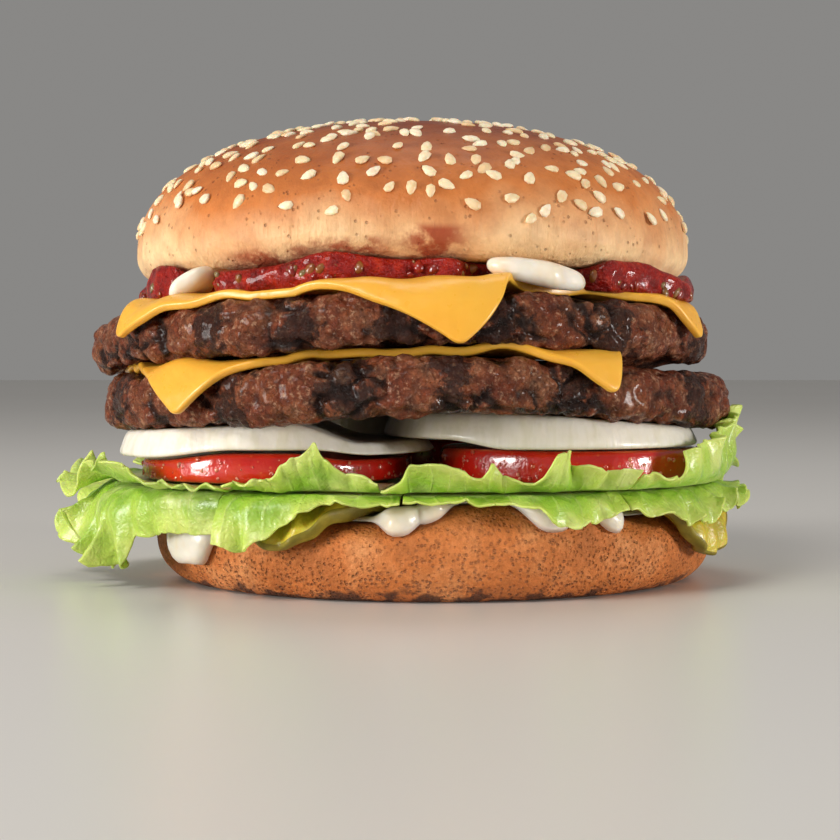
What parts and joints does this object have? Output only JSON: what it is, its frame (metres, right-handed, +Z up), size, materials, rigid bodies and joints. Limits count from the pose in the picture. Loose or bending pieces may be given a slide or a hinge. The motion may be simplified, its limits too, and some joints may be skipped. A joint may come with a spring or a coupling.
{
  "type": "cheeseburger",
  "caption": "Stacked cheeseburger in a round sesame bun: grilled patties with melted cheese, ketchup, onion, tomato, ruffled lettuce, pickles and mayonnaise.",
  "frame": {"origin": "on the flat underside of the heel bun, below the middle of the patties", "axes": "+Z up through the stack, -Y the front that the picture shows, +X the viewer's right"},
  "size_m": [0.1463, 0.141, 0.0954],
  "materials": {
    "crown": "satin baked crust, golden brown on top and pale cream at the rim",
    "heel": "matt orange-tan crumb with fine pits",
    "beef": "coarse grilled minced meat, moist, with dark charred bands",
    "cheese": "smooth satin, softened by heat",
    "tomato": "wet",
    "onion": "smooth, slightly translucent",
    "lettuce": "thin, translucent, ruffled",
    "pickle": "wet, with a ridged cut",
    "mayonnaise": "smooth, creamy",
    "ketchup": "glossy, with small bits of relish"
  },
  "bodies": {
    "root": {"crown_bun": "crown", "heel_bun": "heel", "patty_lower": "beef", "patty_upper": "beef", "cheese_lower": "cheese", "cheese_upper": "cheese", "tomato_left": "tomato", "tomato_right": "tomato", "tomato_back": "tomato", "onion_left": "onion", "onion_right": "onion", "onion_back": "onion", "lettuce_left": "lettuce", "lettuce_left_top": "lettuce", "lettuce_front_left": "lettuce", "lettuce_front_left_top": "lettuce", "lettuce_front_right": "lettuce", "lettuce_front_right_top": "lettuce", "lettuce_right": "lettuce", "lettuce_right_top": "lettuce", "lettuce_back": "lettuce", "lettuce_back_top": "lettuce", "pickle_front": "pickle", "pickle_right": "pickle", "pickle_back": "pickle", "pickle_left": "pickle", "mayonnaise_lower": "mayonnaise", "mayonnaise_upper_1": "mayonnaise", "mayonnaise_upper_2": "mayonnaise", "mayonnaise_upper_3": "mayonnaise", "ketchup": "ketchup"}
  },
  "joints": []
}
